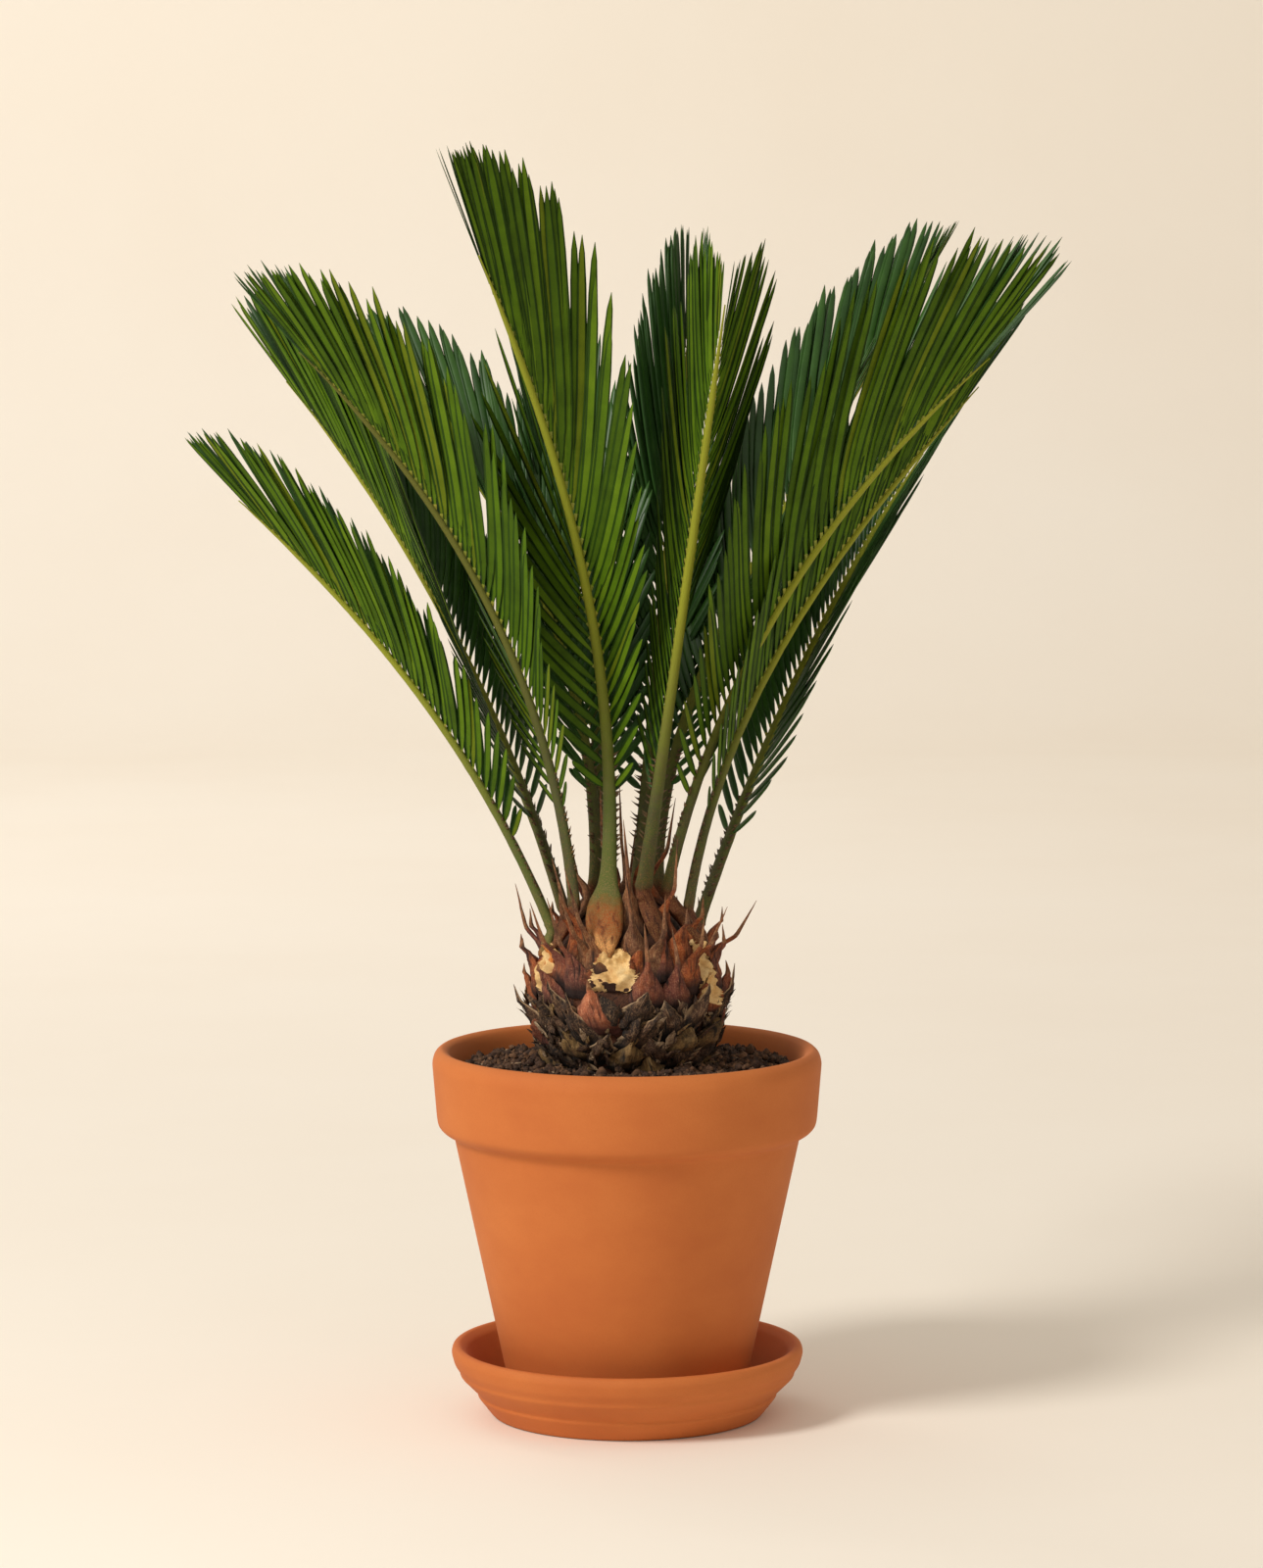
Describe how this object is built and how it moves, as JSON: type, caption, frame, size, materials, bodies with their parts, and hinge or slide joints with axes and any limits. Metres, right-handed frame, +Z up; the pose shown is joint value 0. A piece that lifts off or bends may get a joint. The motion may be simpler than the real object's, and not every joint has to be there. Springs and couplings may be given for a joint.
{
  "type": "potted sago palm",
  "caption": "Small sago palm with stiff arching fronds on a scaly barrel trunk, planted in a round terracotta pot that stands in its saucer.",
  "frame": {"origin": "middle of the saucer's flat underside", "axes": "+Z up along the pot's axis, -Y towards the side shown from the front"},
  "size_m": [0.4822, 0.369, 0.7113],
  "materials": {
    "terracotta": "unglazed fired clay",
    "soil": "dark crumbly potting soil",
    "bark": "rough scaly trunk",
    "husk": "dry felted scale leaves",
    "leaf": "stiff satin leaf"
  },
  "bodies": {
    "root": {"frond_01_front_left": "leaf", "frond_02_right_front": "leaf", "frond_03_left_front": "leaf", "frond_04_front_right": "leaf", "frond_05_left_low": "leaf", "frond_06_right": "leaf", "frond_07_left_back": "leaf", "frond_08_right_low": "leaf", "frond_09_back_left": "leaf", "frond_10_back_right": "leaf", "frond_11_back": "leaf", "frond_12_back_middle": "leaf", "pot": "terracotta", "saucer": "terracotta", "scale_leaf_01": "husk", "scale_leaf_02": "husk", "scale_leaf_03": "husk", "scale_leaf_04": "husk", "scale_leaf_05": "husk", "scale_leaf_06": "husk", "scale_leaf_07": "husk", "scale_leaf_08": "husk", "scale_leaf_09": "husk", "scale_leaf_10": "husk", "scale_leaf_11": "husk", "scale_leaf_12": "husk", "scale_leaf_13": "husk", "scale_leaf_14": "husk", "scale_leaf_15": "husk", "scale_leaf_16": "husk", "scale_leaf_17": "husk", "scale_leaf_18": "husk", "scale_leaf_19": "husk", "scale_leaf_20": "husk", "soil": "soil", "trunk": "bark"}
  },
  "joints": []
}
